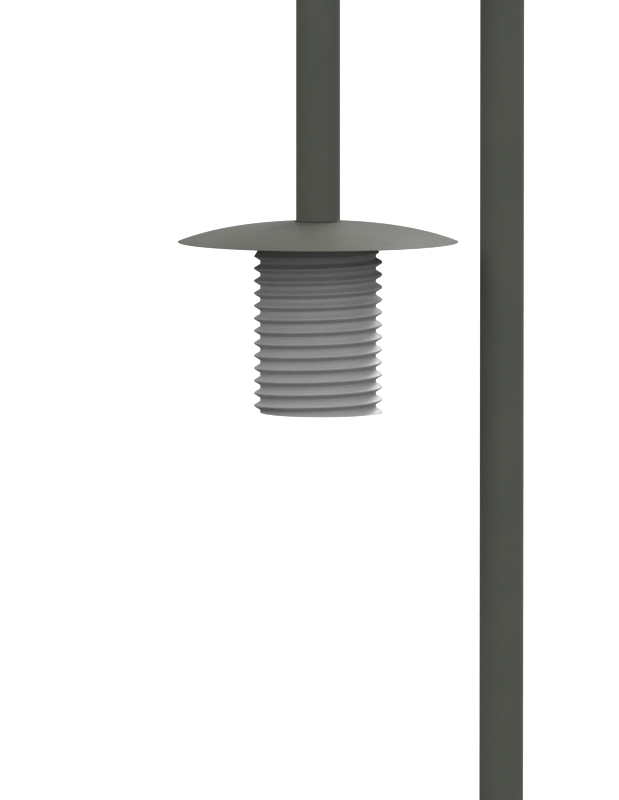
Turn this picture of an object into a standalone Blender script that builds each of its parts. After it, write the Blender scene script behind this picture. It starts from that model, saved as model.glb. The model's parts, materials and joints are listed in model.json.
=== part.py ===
"""Crook street lamp post: flanged base with a service door, bent tube, canopy and screw-on lamp.

Metres, +Z up.  The post stands on z = 0 with its axis at x = 0, y = 0.  The tube bends over
towards -X and comes down into a round canopy, with the finned lamp housing under it.
"""
from math import acos, atan2, ceil, cos, floor, pi, radians, sin

import bmesh
import bpy
from mathutils import Vector

GAP = 0.0003                     # left between pieces that touch

# Base plate and base shaft
PLATE_SIDE = 0.400
PLATE_THICK = 0.016
PLATE_CORNER = 0.035
ANCHOR_SPACING = 0.300
ANCHOR_HOLE_R = 0.012
CABLE_HOLE_R = 0.017
CABLE_HOLE_Y = 0.028
SHAFT_R = 0.05715
SHAFT_WALL = 0.0036
SHAFT_BORE_R = SHAFT_R - SHAFT_WALL
SHAFT_TOP = 0.950
SHAFT_SIDES = 40
COLLAR_TOP = 0.985

# Bent tube
TUBE_R = 0.03805
TUBE_WALL = 0.0032
TUBE_SIDES = 18
TUBE_FOOT = 0.870
BEND_R = 0.1584
BEND_Z = 3.750
LAMP_X = -2 * BEND_R

# Service door, hinges and lock (the door faces -Y, its hinge is on the +X side)
DOOR_WIDTH = 0.085
DOOR_LOW = 0.400
DOOR_HIGH = 0.800
DOOR_CORNER = 0.018
DOOR_CLEARANCE = 0.0012
SEAT_LAP = 0.006
HINGE_ANGLE = radians(50)
HINGE_AXIS_R = 0.0621
KNUCKLE_R = 0.0045
PIN_R = 0.0020
LEAF_THICK = 0.0020
LEAF_ARC = radians(17)
LEAF_HEIGHT = 0.020
HINGE_HEIGHTS = (0.455, 0.715)
LOCK_Z = 0.772
CAM_REACH = 0.033
LOCK_BACK = 0.0403
LOCK_SIDES = 20
CAM_Y = -0.0385

# Equipment behind the door
BOARD_Y = 0.0200
BOARD_THICK = 0.004
BRACKET_HEIGHTS = (0.455, 0.745)
FUSE_Z = 0.545
EARTH_X = 0.018
EARTH_Z = 0.440
TERMINAL_Z = 0.660

# Canopy and its fixings, measured from the rim
RIM_Z = 3.300
CANOPY_R = 0.2421
CANOPY_RISE = 0.0354
CANOPY_SHELL = 0.0018
CANOPY_EDGE_R = 0.2400           # inner radius of the rim's flat underside
CANOPY_EDGE = RIM_Z - 0.0008
UNDERPLATE_TOP = RIM_Z + 0.0005
CANOPY_SIDES = 32
GRUB_Z = RIM_Z + 0.018
GRUB_ANGLES = (pi / 4, 3 * pi / 4)
SMALL_HOLE_SIDES = 10

# Lamp housing: an outside helical fin and an inside screw thread
LAMP_TOP = RIM_Z - 0.0060
LAMP_FOOT = RIM_Z - 0.2954
FIN_PITCH = 0.021548
FIN_TIP_R = 0.1107
FIN_ROOT_R = 0.1000
FIN_TIP_HALF = 0.00135
FIN_ROOT_HALF = 0.0079
FIN_PHASE = RIM_Z - 0.2724
TOP_CREST = 11                   # the groove above this turn of the fin fades out
GROOVE_FADE = (0.30, 0.36)       # in turns, round the back of the lamp
TOP_BEVEL_R = 0.0945             # radius of the top bevel's cone at the rim's height
TOP_BEVEL_SLOPE = 0.64
SCREW_PITCH = 0.008
SCREW_MAJOR_R = 0.0720
SCREW_MINOR_R = 0.0695
SCREW_TIP_HALF = 0.0008
SCREW_ROOT_HALF = 0.0032
SCREW_CLEARANCE = 0.0009
SCREW_PHASE = RIM_Z - 0.0120
SPIGOT_FOOT = RIM_Z - 0.0360
LAMP_SIDES = 24


# ---------------------------------------------------------------- materials and small helpers

def material(name, colour, roughness, metallic=0.0):
    """A Principled material, made once and shared by name."""
    found = bpy.data.materials.get(name)
    if found:
        return found
    made = bpy.data.materials.new(name)
    made.use_nodes = True
    shader = made.node_tree.nodes["Principled BSDF"]
    shader.inputs["Base Color"].default_value = (*colour, 1.0)
    shader.inputs["Roughness"].default_value = roughness
    shader.inputs["Metallic"].default_value = metallic
    return made


def post_coat():
    return material("post_coat", (0.110, 0.117, 0.097), 0.45)


def canopy_coat():
    return material("canopy_coat", (0.110, 0.117, 0.097), 0.42)


def housing_alloy():
    return material("housing_alloy", (0.34, 0.34, 0.34), 0.50)


def zinc_steel():
    return material("zinc_steel", (0.55, 0.56, 0.57), 0.40, 1.0)


def stainless():
    return material("stainless", (0.62, 0.61, 0.59), 0.28, 1.0)


def raw_alloy():
    return material("raw_alloy", (0.72, 0.73, 0.74), 0.38, 1.0)


def black_rubber():
    return material("black_rubber", (0.020, 0.020, 0.020), 0.75)


def grey_plastic():
    return material("grey_plastic", (0.30, 0.31, 0.32), 0.55)


def black_plastic():
    return material("black_plastic", (0.025, 0.025, 0.027), 0.50)


def contact_brass():
    return material("contact_brass", (0.72, 0.53, 0.22), 0.30, 1.0)


def mesh_object(name, mesh_data, coat, location=(0, 0, 0), rotation=(0, 0, 0), smooth=30):
    """Turn a bmesh into a named object with its material."""
    bmesh.ops.recalc_face_normals(mesh_data, faces=mesh_data.faces)
    mesh = bpy.data.meshes.new(name)
    mesh_data.to_mesh(mesh)
    mesh_data.free()
    mesh.materials.append(coat)
    mesh.shade_smooth()
    mesh.set_sharp_from_angle(angle=radians(smooth))
    made = bpy.data.objects.new(name, mesh)
    made.location = location
    made.rotation_euler = rotation
    bpy.context.scene.collection.objects.link(made)
    return made


def turned_mesh(loops_at, sides, mesh_data=None, centre=(0, 0, 0)):
    """Sweep closed (radius, height) loops round Z; a loop may change with the turn, as on a screw.

    The last column is a whole turn on from the first, and the points that fall on one place
    become one vertex, so a thread meets itself one pitch up.
    """
    mesh_data = mesh_data or bmesh.new()
    corners = {}

    def corner(point):
        key = tuple(round(value, 7) for value in point)
        if key not in corners:
            corners[key] = mesh_data.verts.new(point)
        return corners[key]

    columns = []
    for step in range(sides + 1):
        turn = step / sides
        across, along = cos(2 * pi * turn), sin(2 * pi * turn)
        if step == sides:
            across, along = 1.0, 0.0
        columns.append([corner((centre[0] + radius * across, centre[1] + radius * along,
                                centre[2] + height)) for radius, height in loops_at(turn)])
    for left, right in zip(columns, columns[1:]):
        count = len(left)
        for row in range(count):
            following = (row + 1) % count
            ring = []
            for vertex in (left[row], right[row], right[following], left[following]):
                if vertex not in ring:
                    ring.append(vertex)
            if len(ring) > 2:
                mesh_data.faces.new(ring)
    return mesh_data


def turned(name, loop, coat, sides=32, location=(0, 0, 0), rotation=(0, 0, 0)):
    """A plain turned piece from one closed (radius, height) loop."""
    return mesh_object(name, turned_mesh(lambda turn: loop, sides), coat, location, rotation)


def ring_loop(inner, outer, low, high):
    return [(inner, low), (outer, low), (outer, high), (inner, high)]


def prism_mesh(outline, low, high, mesh_data=None):
    """Extrude a closed (x, y) outline from z = low to z = high."""
    mesh_data = mesh_data or bmesh.new()
    foot = [mesh_data.verts.new((x, y, low)) for x, y in outline]
    head = [mesh_data.verts.new((x, y, high)) for x, y in outline]
    mesh_data.faces.new(foot)
    mesh_data.faces.new(head)
    count = len(outline)
    for index in range(count):
        following = (index + 1) % count
        mesh_data.faces.new((foot[index], foot[following], head[following], head[index]))
    return mesh_data


def box_outline(width, depth, centre=(0, 0)):
    x, y = centre
    return [(x - width / 2, y - depth / 2), (x + width / 2, y - depth / 2),
            (x + width / 2, y + depth / 2), (x - width / 2, y + depth / 2)]


def rounded_outline(width, depth, corner, steps=5):
    """A rectangle with round corners, centred on the origin."""
    points = []
    for quarter, (side, up) in enumerate(((1, 1), (-1, 1), (-1, -1), (1, -1))):
        for step in range(steps + 1):
            angle = (quarter + step / steps) * pi / 2
            points.append((side * (width / 2 - corner) + corner * cos(angle),
                           up * (depth / 2 - corner) + corner * sin(angle)))
    return points


def round_outline(radius, sides, centre=(0, 0), start=0.0):
    return [(centre[0] + radius * cos(start + 2 * pi * step / sides),
             centre[1] + radius * sin(start + 2 * pi * step / sides)) for step in range(sides)]


def ring_places(count, radius, start=0.0):
    """Evenly spaced (x, y) places on a circle round the origin."""
    return [(radius * cos(start + 2 * pi * step / count),
             radius * sin(start + 2 * pi * step / count)) for step in range(count)]


def cutter(name, mesh_data, location=(0, 0, 0), rotation=(0, 0, 0)):
    """A hidden solid that Booleans use."""
    made = mesh_object(name, mesh_data, zinc_steel(), location, rotation)
    made.hide_render = True
    made.display_type = "WIRE"
    return made


def boolean(target, tool, operation="DIFFERENCE"):
    made = target.modifiers.new(operation.title() + "_" + tool.name, "BOOLEAN")
    made.operation = operation
    made.solver = "EXACT"
    made.object = tool


def hole_cutter(name, places, radius, low, high, location=(0, 0, 0), rotation=(0, 0, 0),
                sides=SMALL_HOLE_SIDES):
    """One cutter that drills a hole of the given radius at each (x, y) place."""
    mesh_data = bmesh.new()
    for place in places:
        prism_mesh(round_outline(radius, sides, place), low, high, mesh_data)
    return cutter(name, mesh_data, location, rotation)


def copies(first, places, rotation=(0, 0, 0)):
    """Put a piece at the first place and a copy that shares its mesh at each other place."""
    name = first.name
    made = []
    for count, place in enumerate(places, 1):
        piece = first if count == 1 else bpy.data.objects.new(name, first.data)
        piece.name = "%s_%d" % (name, count)
        piece.location = place
        piece.rotation_euler = rotation
        if count > 1:
            bpy.context.scene.collection.objects.link(piece)
        made.append(piece)
    return made


def screws(name, places, shank_r, head_r, head_low, head_high, tip, rotation=(0, 0, 0)):
    """Pan or socket screws along Z; each is one turned solid from its head to its tip."""
    loop = [(0, tip), (shank_r, tip), (shank_r, head_high), (head_r, head_high),
            (head_r, head_low), (0, head_low)]
    return copies(turned(name, loop, stainless(), SMALL_HOLE_SIDES), places, rotation)


def on_lamp(places):
    """Object locations for (x, y) places measured from the lamp's axis."""
    return [(LAMP_X + x, y, 0) for x, y in places]


def pivot(name, location):
    """An empty on a joint's axis."""
    made = bpy.data.objects.new(name, None)
    made.location = location
    made.empty_display_size = 0.03
    bpy.context.scene.collection.objects.link(made)
    return made


def hang_on(parent, pieces):
    """Parent pieces to a pivot without moving them."""
    for piece in pieces:
        piece.parent = parent
        piece.location = piece.location - parent.location


def cable(name, points, radius, coat):
    """A closed round cable through the given points."""
    curve = bpy.data.curves.new(name, "CURVE")
    curve.dimensions = "3D"
    curve.bevel_depth = radius
    curve.bevel_resolution = 2
    curve.use_fill_caps = True
    spline = curve.splines.new("POLY")
    spline.points.add(len(points) - 1)
    for target, point in zip(spline.points, points):
        target.co = (*point, 1.0)
    curve.materials.append(coat)
    made = bpy.data.objects.new(name, curve)
    bpy.context.scene.collection.objects.link(made)
    return made


def smooth_route(guides, steps):
    """Points on a Catmull-Rom curve through the guide points."""
    guides = [Vector(guide) for guide in guides]
    ends = [2 * guides[0] - guides[1]] + guides + [2 * guides[-1] - guides[-2]]
    points = []
    for a, b, c, d in zip(ends, ends[1:], ends[2:], ends[3:]):
        for step in range(steps):
            t = step / steps
            points.append(0.5 * (2 * b + (c - a) * t + (2 * a - 5 * b + 4 * c - d) * t * t
                                 + (3 * b - a - 3 * c + d) * t * t * t))
    return points + [guides[-1]]


SPIGOT_SCREWS = ring_places(3, 0.053, pi / 6)
PLATE_SCREWS = ring_places(3, 0.080)
BEZEL_SCREWS = ring_places(3, 0.0885)
SPREADER_SCREWS = ring_places(2, 0.0725, pi / 6)


# ---------------------------------------------------------------- base

def base_plate():
    """Square flange with round corners, four anchor holes and two cable entries."""
    plate = mesh_object("base_plate", prism_mesh(
        rounded_outline(PLATE_SIDE, PLATE_SIDE, PLATE_CORNER), 0, PLATE_THICK), zinc_steel())
    reach = ANCHOR_SPACING / 2
    corners = [(x, y) for x in (-reach, reach) for y in (-reach, reach)]
    boolean(plate, hole_cutter("anchor_drill", corners, ANCHOR_HOLE_R, -0.01, 0.03, sides=16))
    entries = [(0, -CABLE_HOLE_Y), (0, CABLE_HOLE_Y)]
    boolean(plate, hole_cutter("entry_drill", entries, CABLE_HOLE_R, -0.01, 0.03, sides=16))


def base_weld():
    """The weld fillet round the foot of the shaft."""
    low = PLATE_THICK + GAP
    leg = 0.008
    inner = SHAFT_R + GAP
    loop = [(inner, low), (inner + leg, low), (inner + 0.55 * leg, low + 0.55 * leg),
            (inner, low + leg)]
    turned("base_weld", loop, post_coat(), SHAFT_SIDES)


def door_prism(name, grow, reach=0.09):
    """A round-cornered block through the shaft's front wall, as tall and wide as the door."""
    outline = rounded_outline(DOOR_WIDTH + 2 * grow, DOOR_HIGH - DOOR_LOW + 2 * grow,
                              DOOR_CORNER + grow)
    middle = (DOOR_LOW + DOOR_HIGH) / 2
    return cutter(name, prism_mesh(outline, 0.0, reach), (0, -0.02, middle), (pi / 2, 0, 0))


def base_shaft():
    shaft = turned("base_shaft", ring_loop(SHAFT_BORE_R, SHAFT_R, PLATE_THICK + GAP, SHAFT_TOP),
                   post_coat(), SHAFT_SIDES)
    boolean(shaft, door_prism("door_opening", 0.0))


def door_seat():
    """The frame inside the shaft that stiffens the opening, with the block the cam turns behind."""
    outer = SHAFT_BORE_R - 2 * GAP
    seat = turned("door_seat", ring_loop(outer - 0.0025, outer, DOOR_LOW - 0.02,
                                         DOOR_HIGH + 0.02), post_coat(), SHAFT_SIDES)
    boolean(seat, door_prism("seat_outline", 0.009), "INTERSECT")
    boolean(seat, door_prism("seat_opening", -SEAT_LAP))
    keep = box_outline(0.024, 0.0110, (0, -0.0461))
    boolean(seat, cutter("latch_keep", prism_mesh(keep, DOOR_HIGH - 0.003, DOOR_HIGH + 0.008)),
            "UNION")


def shoulder_collar():
    """The dished ring that closes the step from the shaft to the tube."""
    inner = TUBE_R + 2 * GAP
    low = SHAFT_TOP + GAP
    rise = COLLAR_TOP - low
    outer = SHAFT_R + 0.0008
    reach = outer - inner - 0.002
    rows = [(outer - reach * (step / 4) ** 0.8, low + 0.006 + (rise - 0.006) * step / 4)
            for step in range(5)]
    turned("shoulder_collar", [(inner, low), (outer, low)] + rows + [(inner, COLLAR_TOP)],
           post_coat(), 28)


def spacer_ring():
    """Centres the foot of the tube in the shaft."""
    turned("spacer_ring", ring_loop(TUBE_R + 2 * GAP, SHAFT_BORE_R - 2 * GAP, TUBE_FOOT + 0.008,
                                    TUBE_FOOT + 0.026), zinc_steel(), 24)


# ---------------------------------------------------------------- bent tube

def crook_path():
    """Stations down the middle of the tube: (x, z, angle of the cross-section)."""
    stations = [(0, TUBE_FOOT, 0.0), (0, 2.2, 0.0)]
    bend_steps = 14
    for step in range(bend_steps + 1):
        angle = pi * step / bend_steps
        stations.append((-BEND_R + BEND_R * cos(angle), BEND_Z + BEND_R * sin(angle), angle))
    stations.append((LAMP_X, RIM_Z + 0.0065, pi))
    return stations


def crook_tube():
    """One steel tube from the base, over the bend and down to the canopy's hub."""
    mesh_data = bmesh.new()
    rings = []
    for radius in (TUBE_R, TUBE_R - TUBE_WALL):
        for x, z, angle in crook_path():
            ring = []
            for side in range(TUBE_SIDES):
                turn = 2 * pi * side / TUBE_SIDES
                out = radius * cos(turn)
                ring.append(mesh_data.verts.new((x + out * cos(angle), radius * sin(turn),
                                                 z + out * sin(angle))))
            rings.append(ring)
    half = len(rings) // 2
    order = rings[:half] + rings[half:][::-1]
    for ring, following in zip(order, order[1:] + order[:1]):
        for side in range(TUBE_SIDES):
            beside = (side + 1) % TUBE_SIDES
            mesh_data.faces.new((ring[side], ring[beside], following[beside], following[side]))
    mesh_object("crook_tube", mesh_data, post_coat())


# ---------------------------------------------------------------- service door

def hinge_axis():
    return HINGE_AXIS_R * sin(HINGE_ANGLE), -HINGE_AXIS_R * cos(HINGE_ANGLE)


def on_shaft(radius, angle):
    """A point at an angle from the door's middle, positive towards the hinge."""
    return radius * sin(angle), -radius * cos(angle)


def leaf_outline(side):
    """A hinge leaf that hugs the shaft and ends in the knuckle; side -1 is the door's leaf."""
    inner = HINGE_AXIS_R - KNUCKLE_R
    outer = inner + LEAF_THICK
    lean = (HINGE_AXIS_R ** 2 + KNUCKLE_R ** 2 - outer ** 2) / (2 * HINGE_AXIS_R * KNUCKLE_R)
    open_angle = acos(lean)
    meet = atan2(KNUCKLE_R * sin(open_angle), HINGE_AXIS_R - KNUCKLE_R * lean)
    far = HINGE_ANGLE + side * LEAF_ARC
    near = HINGE_ANGLE + side * meet
    arc_steps, knuckle_steps = 4, 12
    points = [on_shaft(inner, far + (HINGE_ANGLE - far) * step / arc_steps)
              for step in range(arc_steps)]
    axis_x, axis_y = hinge_axis()
    for step in range(knuckle_steps + 1):
        turn = HINGE_ANGLE + pi / 2 + side * (2 * pi - open_angle) * step / knuckle_steps
        points.append((axis_x + KNUCKLE_R * cos(turn), axis_y + KNUCKLE_R * sin(turn)))
    return points + [on_shaft(outer, near + (far - near) * step / arc_steps)
                     for step in range(1, arc_steps + 1)]


def hinge_straps():
    """The door's leaves, which drop over the pins."""
    straps = []
    for height, place in zip(HINGE_HEIGHTS, ("lower", "upper")):
        leaf = prism_mesh(leaf_outline(-1), height + GAP, height + LEAF_HEIGHT)
        strap = mesh_object("hinge_strap_" + place, leaf, post_coat())
        boolean(strap, hole_cutter("strap_drill_" + place, [hinge_axis()], PIN_R + GAP,
                                   height - 0.01, height + LEAF_HEIGHT + 0.01))
        straps.append(strap)
    return straps


def hinge_brackets():
    """The shaft's leaves, each with its pin standing up out of the knuckle."""
    for height, place in zip(HINGE_HEIGHTS, ("lower", "upper")):
        leaf = prism_mesh(leaf_outline(1), height - LEAF_HEIGHT, height)
        bracket = mesh_object("hinge_bracket_" + place, leaf, post_coat())
        pin = prism_mesh(round_outline(PIN_R, SMALL_HOLE_SIDES, hinge_axis()), height - 0.005,
                         height + LEAF_HEIGHT + 0.002)
        boolean(bracket, cutter("hinge_pin_" + place, pin), "UNION")


def service_door():
    """The flush curved door, drilled for its lock."""
    door = turned("service_door", ring_loop(SHAFT_BORE_R, SHAFT_R, DOOR_LOW - 0.02,
                                            DOOR_HIGH + 0.02), post_coat(), SHAFT_SIDES)
    boolean(door, door_prism("door_outline", -DOOR_CLEARANCE), "INTERSECT")
    boolean(door, hole_cutter("lock_drill", [(0, 0)], 0.0115, 0.0, 0.09, (0, 0, LOCK_Z),
                              (pi / 2, 0, 0), LOCK_SIDES))
    return door


def lock_barrel():
    """The lock's flanged sleeve, along Y through the door."""
    loop = [(0.0050, LOCK_BACK), (0.0110, LOCK_BACK), (0.0110, 0.0575), (0.0140, 0.0575),
            (0.0140, 0.0588), (0.0125, 0.0600), (0.0050, 0.0600)]
    return turned("lock_barrel", loop, stainless(), LOCK_SIDES, (0, 0, LOCK_Z), (pi / 2, 0, 0))


def lock_nut():
    """Slim round nut that clamps the barrel behind the door."""
    loop = ring_loop(0.0113, 0.0122, 0.0466, 0.0520)
    return turned("lock_nut", loop, zinc_steel(), 24, (0, 0, LOCK_Z), (pi / 2, 0, 0))


def lock_spindle():
    """The turning core, with a three-sided key boss at its front."""
    mesh_data = bmesh.new()
    prism_mesh(round_outline(0.0046, 18), LOCK_BACK, 0.0565, mesh_data)
    core = mesh_object("lock_spindle", mesh_data, contact_brass(), (0, 0, LOCK_Z), (pi / 2, 0, 0))
    boss = cutter("key_boss", prism_mesh(round_outline(0.0038, 3, start=pi / 2), 0.0560, 0.0595),
                  (0, 0, LOCK_Z), (pi / 2, 0, 0))
    boolean(core, boss, "UNION")
    return core


def lock_cam():
    """The flat tongue; it lies level at rest and stands up behind the keep when locked."""
    outline = [(0.007, -0.006), (0.007, 0.006), (-CAM_REACH + 0.003, 0.006),
               (-CAM_REACH, 0.003), (-CAM_REACH, -0.003), (-CAM_REACH + 0.003, -0.006)]
    near = -CAM_Y - 0.0015
    cam = mesh_object("lock_cam", prism_mesh(outline, near, near + 0.003), zinc_steel(),
                      (0, 0, LOCK_Z), (pi / 2, 0, 0))
    rivet = prism_mesh(round_outline(0.0045, SMALL_HOLE_SIDES), near - 0.0020, near + 0.0010)
    boolean(cam, cutter("cam_rivet", rivet, (0, 0, LOCK_Z), (pi / 2, 0, 0)), "UNION")
    return cam


def door_set():
    """The door's leaves swing on the hinge axis, and the lock turns in the door."""
    axis_x, axis_y = hinge_axis()
    door_pivot = pivot("door_pivot", Vector((axis_x, axis_y, HINGE_HEIGHTS[0])))
    lock_pivot = pivot("lock_pivot", Vector((0, -SHAFT_R, LOCK_Z)))
    hinge_brackets()
    hang_on(lock_pivot, [lock_spindle(), lock_cam()])
    hang_on(door_pivot, hinge_straps() + [service_door(), lock_barrel(), lock_nut(), lock_pivot])


# ---------------------------------------------------------------- equipment in the shaft

def mounting_board():
    """The board that carries the equipment, on a bracket against the shaft's back wall."""
    low, high = DOOR_LOW + 0.03, DOOR_HIGH - 0.03
    board = mesh_object("mounting_board", prism_mesh(box_outline(0.060, BOARD_THICK, (0, BOARD_Y)),
                                                     low, high), grey_plastic())
    places = [(0, -height) for height in BRACKET_HEIGHTS]
    boolean(board, hole_cutter("board_drill", places + [(EARTH_X, -EARTH_Z)], 0.0024, 0.0, 0.03,
                               (0, 0, 0), (-pi / 2, 0, 0)))
    back = SHAFT_BORE_R - 0.0022
    front = BOARD_Y + BOARD_THICK / 2 + GAP
    outline = box_outline(0.022, back - front, (0, (back + front) / 2))
    bracket = mesh_object("board_bracket", prism_mesh(outline, low, high), zinc_steel())
    boolean(bracket, hole_cutter("bracket_drill", places, 0.0024, 0.0, 0.037, (0, 0, 0),
                                 (-pi / 2, 0, 0)))
    face = BOARD_Y - BOARD_THICK / 2 - GAP
    screws("board_screw", [(0, 0, height) for height in BRACKET_HEIGHTS], 0.0020, 0.0042,
           face - 0.0026, face, 0.036, (-pi / 2, 0, 0))


def fuse_unit():
    """The cut-out: an insulating base with a pocket, and the fuse carrier that pulls out of it."""
    back = BOARD_Y - BOARD_THICK / 2 - GAP
    front = -0.006
    low, high = FUSE_Z - 0.055, FUSE_Z + 0.055
    base = mesh_object("fuse_base", prism_mesh(box_outline(0.048, back - front,
                                                           (0, (back + front) / 2)), low, high),
                       black_plastic())
    pocket = prism_mesh(box_outline(0.033, 0.0240, (0, -0.0040)), FUSE_Z - 0.042, FUSE_Z + 0.042)
    boolean(base, cutter("fuse_pocket", pocket))
    outline = [(-0.016, 0.0075), (-0.016, -0.0120), (-0.0045, -0.0120), (-0.0040, -0.0200),
               (0.0040, -0.0200), (0.0045, -0.0120), (0.016, -0.0120), (0.016, 0.0075)]
    carrier = mesh_object("fuse_carrier", prism_mesh(outline, FUSE_Z - 0.0415, FUSE_Z + 0.0415),
                          grey_plastic())
    hang_on(pivot("fuse_pivot", Vector((0, -0.006, FUSE_Z))), [carrier])


def terminal_block():
    """A stepped block with a screw hole over each terminal."""
    back = BOARD_Y - BOARD_THICK / 2 - GAP
    outline = [(0.024, back), (-0.024, back), (-0.024, 0.004), (-0.018, -0.002),
               (0.018, -0.002), (0.024, 0.004)]
    block = mesh_object("terminal_block", prism_mesh(outline, TERMINAL_Z - 0.028,
                                                     TERMINAL_Z + 0.028), grey_plastic())
    places = [(x, -TERMINAL_Z + z) for x in (-0.012, 0.0, 0.012) for z in (-0.012, 0.012)]
    boolean(block, hole_cutter("terminal_drill", places, 0.0030, -0.01, 0.006, (0, 0, 0),
                               (-pi / 2, 0, 0)))


def earthing():
    """The earth stud on the board, with its lead from the terminals."""
    face = BOARD_Y - BOARD_THICK / 2 - GAP
    loop = [(0, 0.021), (0.0020, 0.021), (0.0020, face), (0.0065, face), (0.0065, face - 0.006),
            (0.0020, face - 0.006), (0.0020, face - 0.012), (0, face - 0.012)]
    turned("earth_stud", loop, contact_brass(), SMALL_HOLE_SIDES, (EARTH_X, 0, EARTH_Z),
           (-pi / 2, 0, 0))
    guides = [(0.017, 0.010, TERMINAL_Z - 0.0283), (0.018, 0.010, TERMINAL_Z - 0.040),
              (0.0285, 0.010, FUSE_Z + 0.045), (0.0285, 0.010, FUSE_Z - 0.045),
              (0.020, 0.0120, EARTH_Z + 0.022), (EARTH_X, 0.0125, EARTH_Z + 0.0070)]
    cable("earth_lead", smooth_route(guides, 4), 0.0018, black_plastic())


def link_wire():
    """The flat twin wire from the fuse unit up to the terminals."""
    outline = [(0.0055 * side + 0.0018 * cos(turn), 0.010 + 0.0018 * sin(turn))
               for side, start in ((1, -pi / 2), (-1, pi / 2))
               for turn in (start + step * pi / 4 for step in range(5))]
    mesh_object("link_wire", prism_mesh(outline, FUSE_Z + 0.055 + GAP, TERMINAL_Z - 0.028 - GAP),
                black_plastic())


def supply_cable():
    """The cable from the terminals, up the tube, round the bend and down to the contact block."""
    foot = [(0, 0.008, TERMINAL_Z + 0.0283), (0, 0.008, 0.720), (0, 0.004, 0.790),
            (0, 0.0, 0.870)]
    points = smooth_route(foot, 4) + [Vector((0, 0, 2.2))]
    steps = 14
    for step in range(steps + 1):
        angle = pi * step / steps
        points.append(Vector((-BEND_R + BEND_R * cos(angle), 0, BEND_Z + BEND_R * sin(angle))))
    points.append(Vector((LAMP_X, 0, RIM_Z - 0.0257)))
    cable("supply_cable", points, 0.0045, black_rubber())


# ---------------------------------------------------------------- canopy

def canopy_height(radius):
    """Height of the canopy's outside over its rim: flat in the middle, steeper at the edge."""
    share = radius / CANOPY_R
    return CANOPY_RISE * (1 - 0.70 * share ** 2 - 0.30 * share ** 4)


def canopy():
    """The spun shell with its turned-down rim and the hole for the tube."""
    hole = TUBE_R + 2 * GAP
    rows = 7
    outside = []
    for row in range(rows + 1):
        radius = hole + (CANOPY_R - hole) * (row / rows) ** 0.8
        outside.append((radius, RIM_Z + canopy_height(radius)))
    inside = [(CANOPY_R, CANOPY_EDGE), (CANOPY_EDGE_R, CANOPY_EDGE)]
    inside += [(radius, height - CANOPY_SHELL) for radius, height in outside[-2::-1]]
    turned("canopy", outside + inside, canopy_coat(), CANOPY_SIDES, (LAMP_X, 0, 0))


def tube_seal():
    """A slim bead of sealant in the corner between the tube and the canopy."""
    inner = TUBE_R + GAP
    low = RIM_Z + canopy_height(inner) + GAP
    loop = [(inner, low), (inner + 0.0026, low), (inner + 0.0016, low + 0.0014),
            (inner, low + 0.0022)]
    turned("tube_seal", loop, black_rubber(), CANOPY_SIDES, (LAMP_X, 0, 0))


def canopy_hub():
    """The cast socket inside the canopy that takes the tube's end, with a flange below."""
    low = UNDERPLATE_TOP + GAP
    loop = [(0.0080, low), (0.0900, low), (0.0900, low + 0.0065), (0.0500, low + 0.0065),
            (0.0500, RIM_Z + 0.0290), (TUBE_R + 2 * GAP, RIM_Z + 0.0290),
            (TUBE_R + 2 * GAP, RIM_Z + 0.0060), (0.0080, RIM_Z + 0.0060)]
    hub = turned("canopy_hub", loop, raw_alloy(), CANOPY_SIDES, (LAMP_X, 0, 0))
    here = (LAMP_X, 0, 0)
    blind = RIM_Z + 0.0045
    boolean(hub, hole_cutter("spigot_tap", SPIGOT_SCREWS, 0.0027, 3.2, blind, here))
    boolean(hub, hole_cutter("plate_tap", PLATE_SCREWS, 0.0019, 3.2, blind, here))
    for count, angle in enumerate(GRUB_ANGLES, 1):
        place, rotation = (LAMP_X, 0, GRUB_Z), (0, pi / 2, angle)
        boolean(hub, hole_cutter("grub_tap_%d" % count, [(0, 0)], 0.0043, 0.020, 0.060, place,
                                 rotation))
        grub = prism_mesh(round_outline(0.0038, 10), TUBE_R + 0.0005, 0.0515)
        mesh_object("hub_grub_screw_%d" % count, grub, stainless(), place, rotation)


def canopy_underplate():
    """The flat disc that closes the canopy from below."""
    loop = ring_loop(0.0745, CANOPY_EDGE_R - 0.0050, CANOPY_EDGE, UNDERPLATE_TOP)
    plate = turned("canopy_underplate", loop, canopy_coat(), CANOPY_SIDES, (LAMP_X, 0, 0))
    boolean(plate, hole_cutter("plate_drill", PLATE_SCREWS, 0.0019, 3.2, 3.32, (LAMP_X, 0, 0)))
    head_top = CANOPY_EDGE - GAP
    screws("underplate_screw", on_lamp(PLATE_SCREWS), 0.0015, 0.0030, head_top - 0.0016,
           head_top, RIM_Z + 0.0040)


# ---------------------------------------------------------------- threads

def thread_radius(offset, pitch, tip_r, root_r, tip_half, root_half):
    """Radius of a trapezoid thread at a height offset from a tip's middle."""
    away = abs((offset + pitch / 2) % pitch - pitch / 2)
    share = min(max((away - tip_half) / (root_half - tip_half), 0.0), 1.0)
    return tip_r + (root_r - tip_r) * share


def thread_rows(turn, low, high, phase, pitch, tip_r, root_r, tip_half, root_half):
    """The thread's (radius, height) points at one turn angle, cut flat at low and high."""
    rows = []
    first = floor((low - phase) / pitch) - 2
    last = ceil((high - phase) / pitch) + 1
    for count in range(first, last + 1):
        middle = phase + pitch * (count + turn)
        for step in (-root_half, -tip_half, tip_half, root_half):
            height = min(max(middle + step, low), high)
            offset = height - phase - pitch * turn
            radius = thread_radius(offset, pitch, tip_r, root_r, tip_half, root_half)
            rows.append((radius, height))
    return rows


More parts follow.
